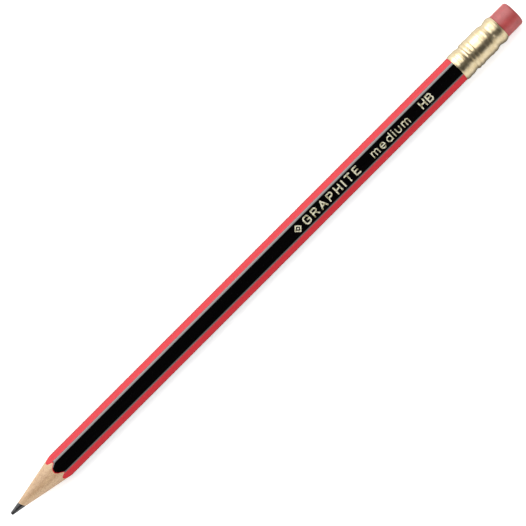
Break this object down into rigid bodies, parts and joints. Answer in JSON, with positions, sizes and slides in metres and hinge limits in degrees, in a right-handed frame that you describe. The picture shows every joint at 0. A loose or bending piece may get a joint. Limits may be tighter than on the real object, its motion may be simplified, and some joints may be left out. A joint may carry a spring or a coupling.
{
  "type": "graphite pencil",
  "caption": "Sharpened hexagonal wooden pencil with striped lacquer, stamped foil lettering, a ringed metal ferrule and a pink eraser.",
  "frame": {"origin": "below the middle of the pencil's length, at the height of the ferrule's widest bead", "axes": "+X along the pencil towards the eraser, +Z out of the printed face"},
  "size_m": [0.188, 0.0084, 0.0083],
  "materials": {
    "graphite": "dark grey graphite and clay with a dull metallic sheen",
    "wood": "bare light wood, freshly cut by a sharpener",
    "glue": "thin dry wood glue",
    "red_lacquer": "smooth glossy lacquer",
    "black_lacquer": "smooth glossy lacquer",
    "gold_foil": "hot-stamped pale gold foil",
    "ferrule_metal": "pale gold anodised sheet, satin with fine pits",
    "eraser_rubber": "matte pink rubber with fine specks"
  },
  "bodies": {
    "root": {"graphite_core": "graphite", "wood_slat_upper": "wood", "wood_slat_lower": "wood", "glue_line": "glue", "red_lacquer": "red_lacquer", "black_stripe_top": "black_lacquer", "black_stripe_left": "black_lacquer", "black_stripe_right": "black_lacquer", "foil_emblem": "gold_foil", "foil_title": "gold_foil", "foil_word": "gold_foil", "foil_grade": "gold_foil", "ferrule": "ferrule_metal", "eraser_plug": "eraser_rubber"}
  },
  "joints": []
}
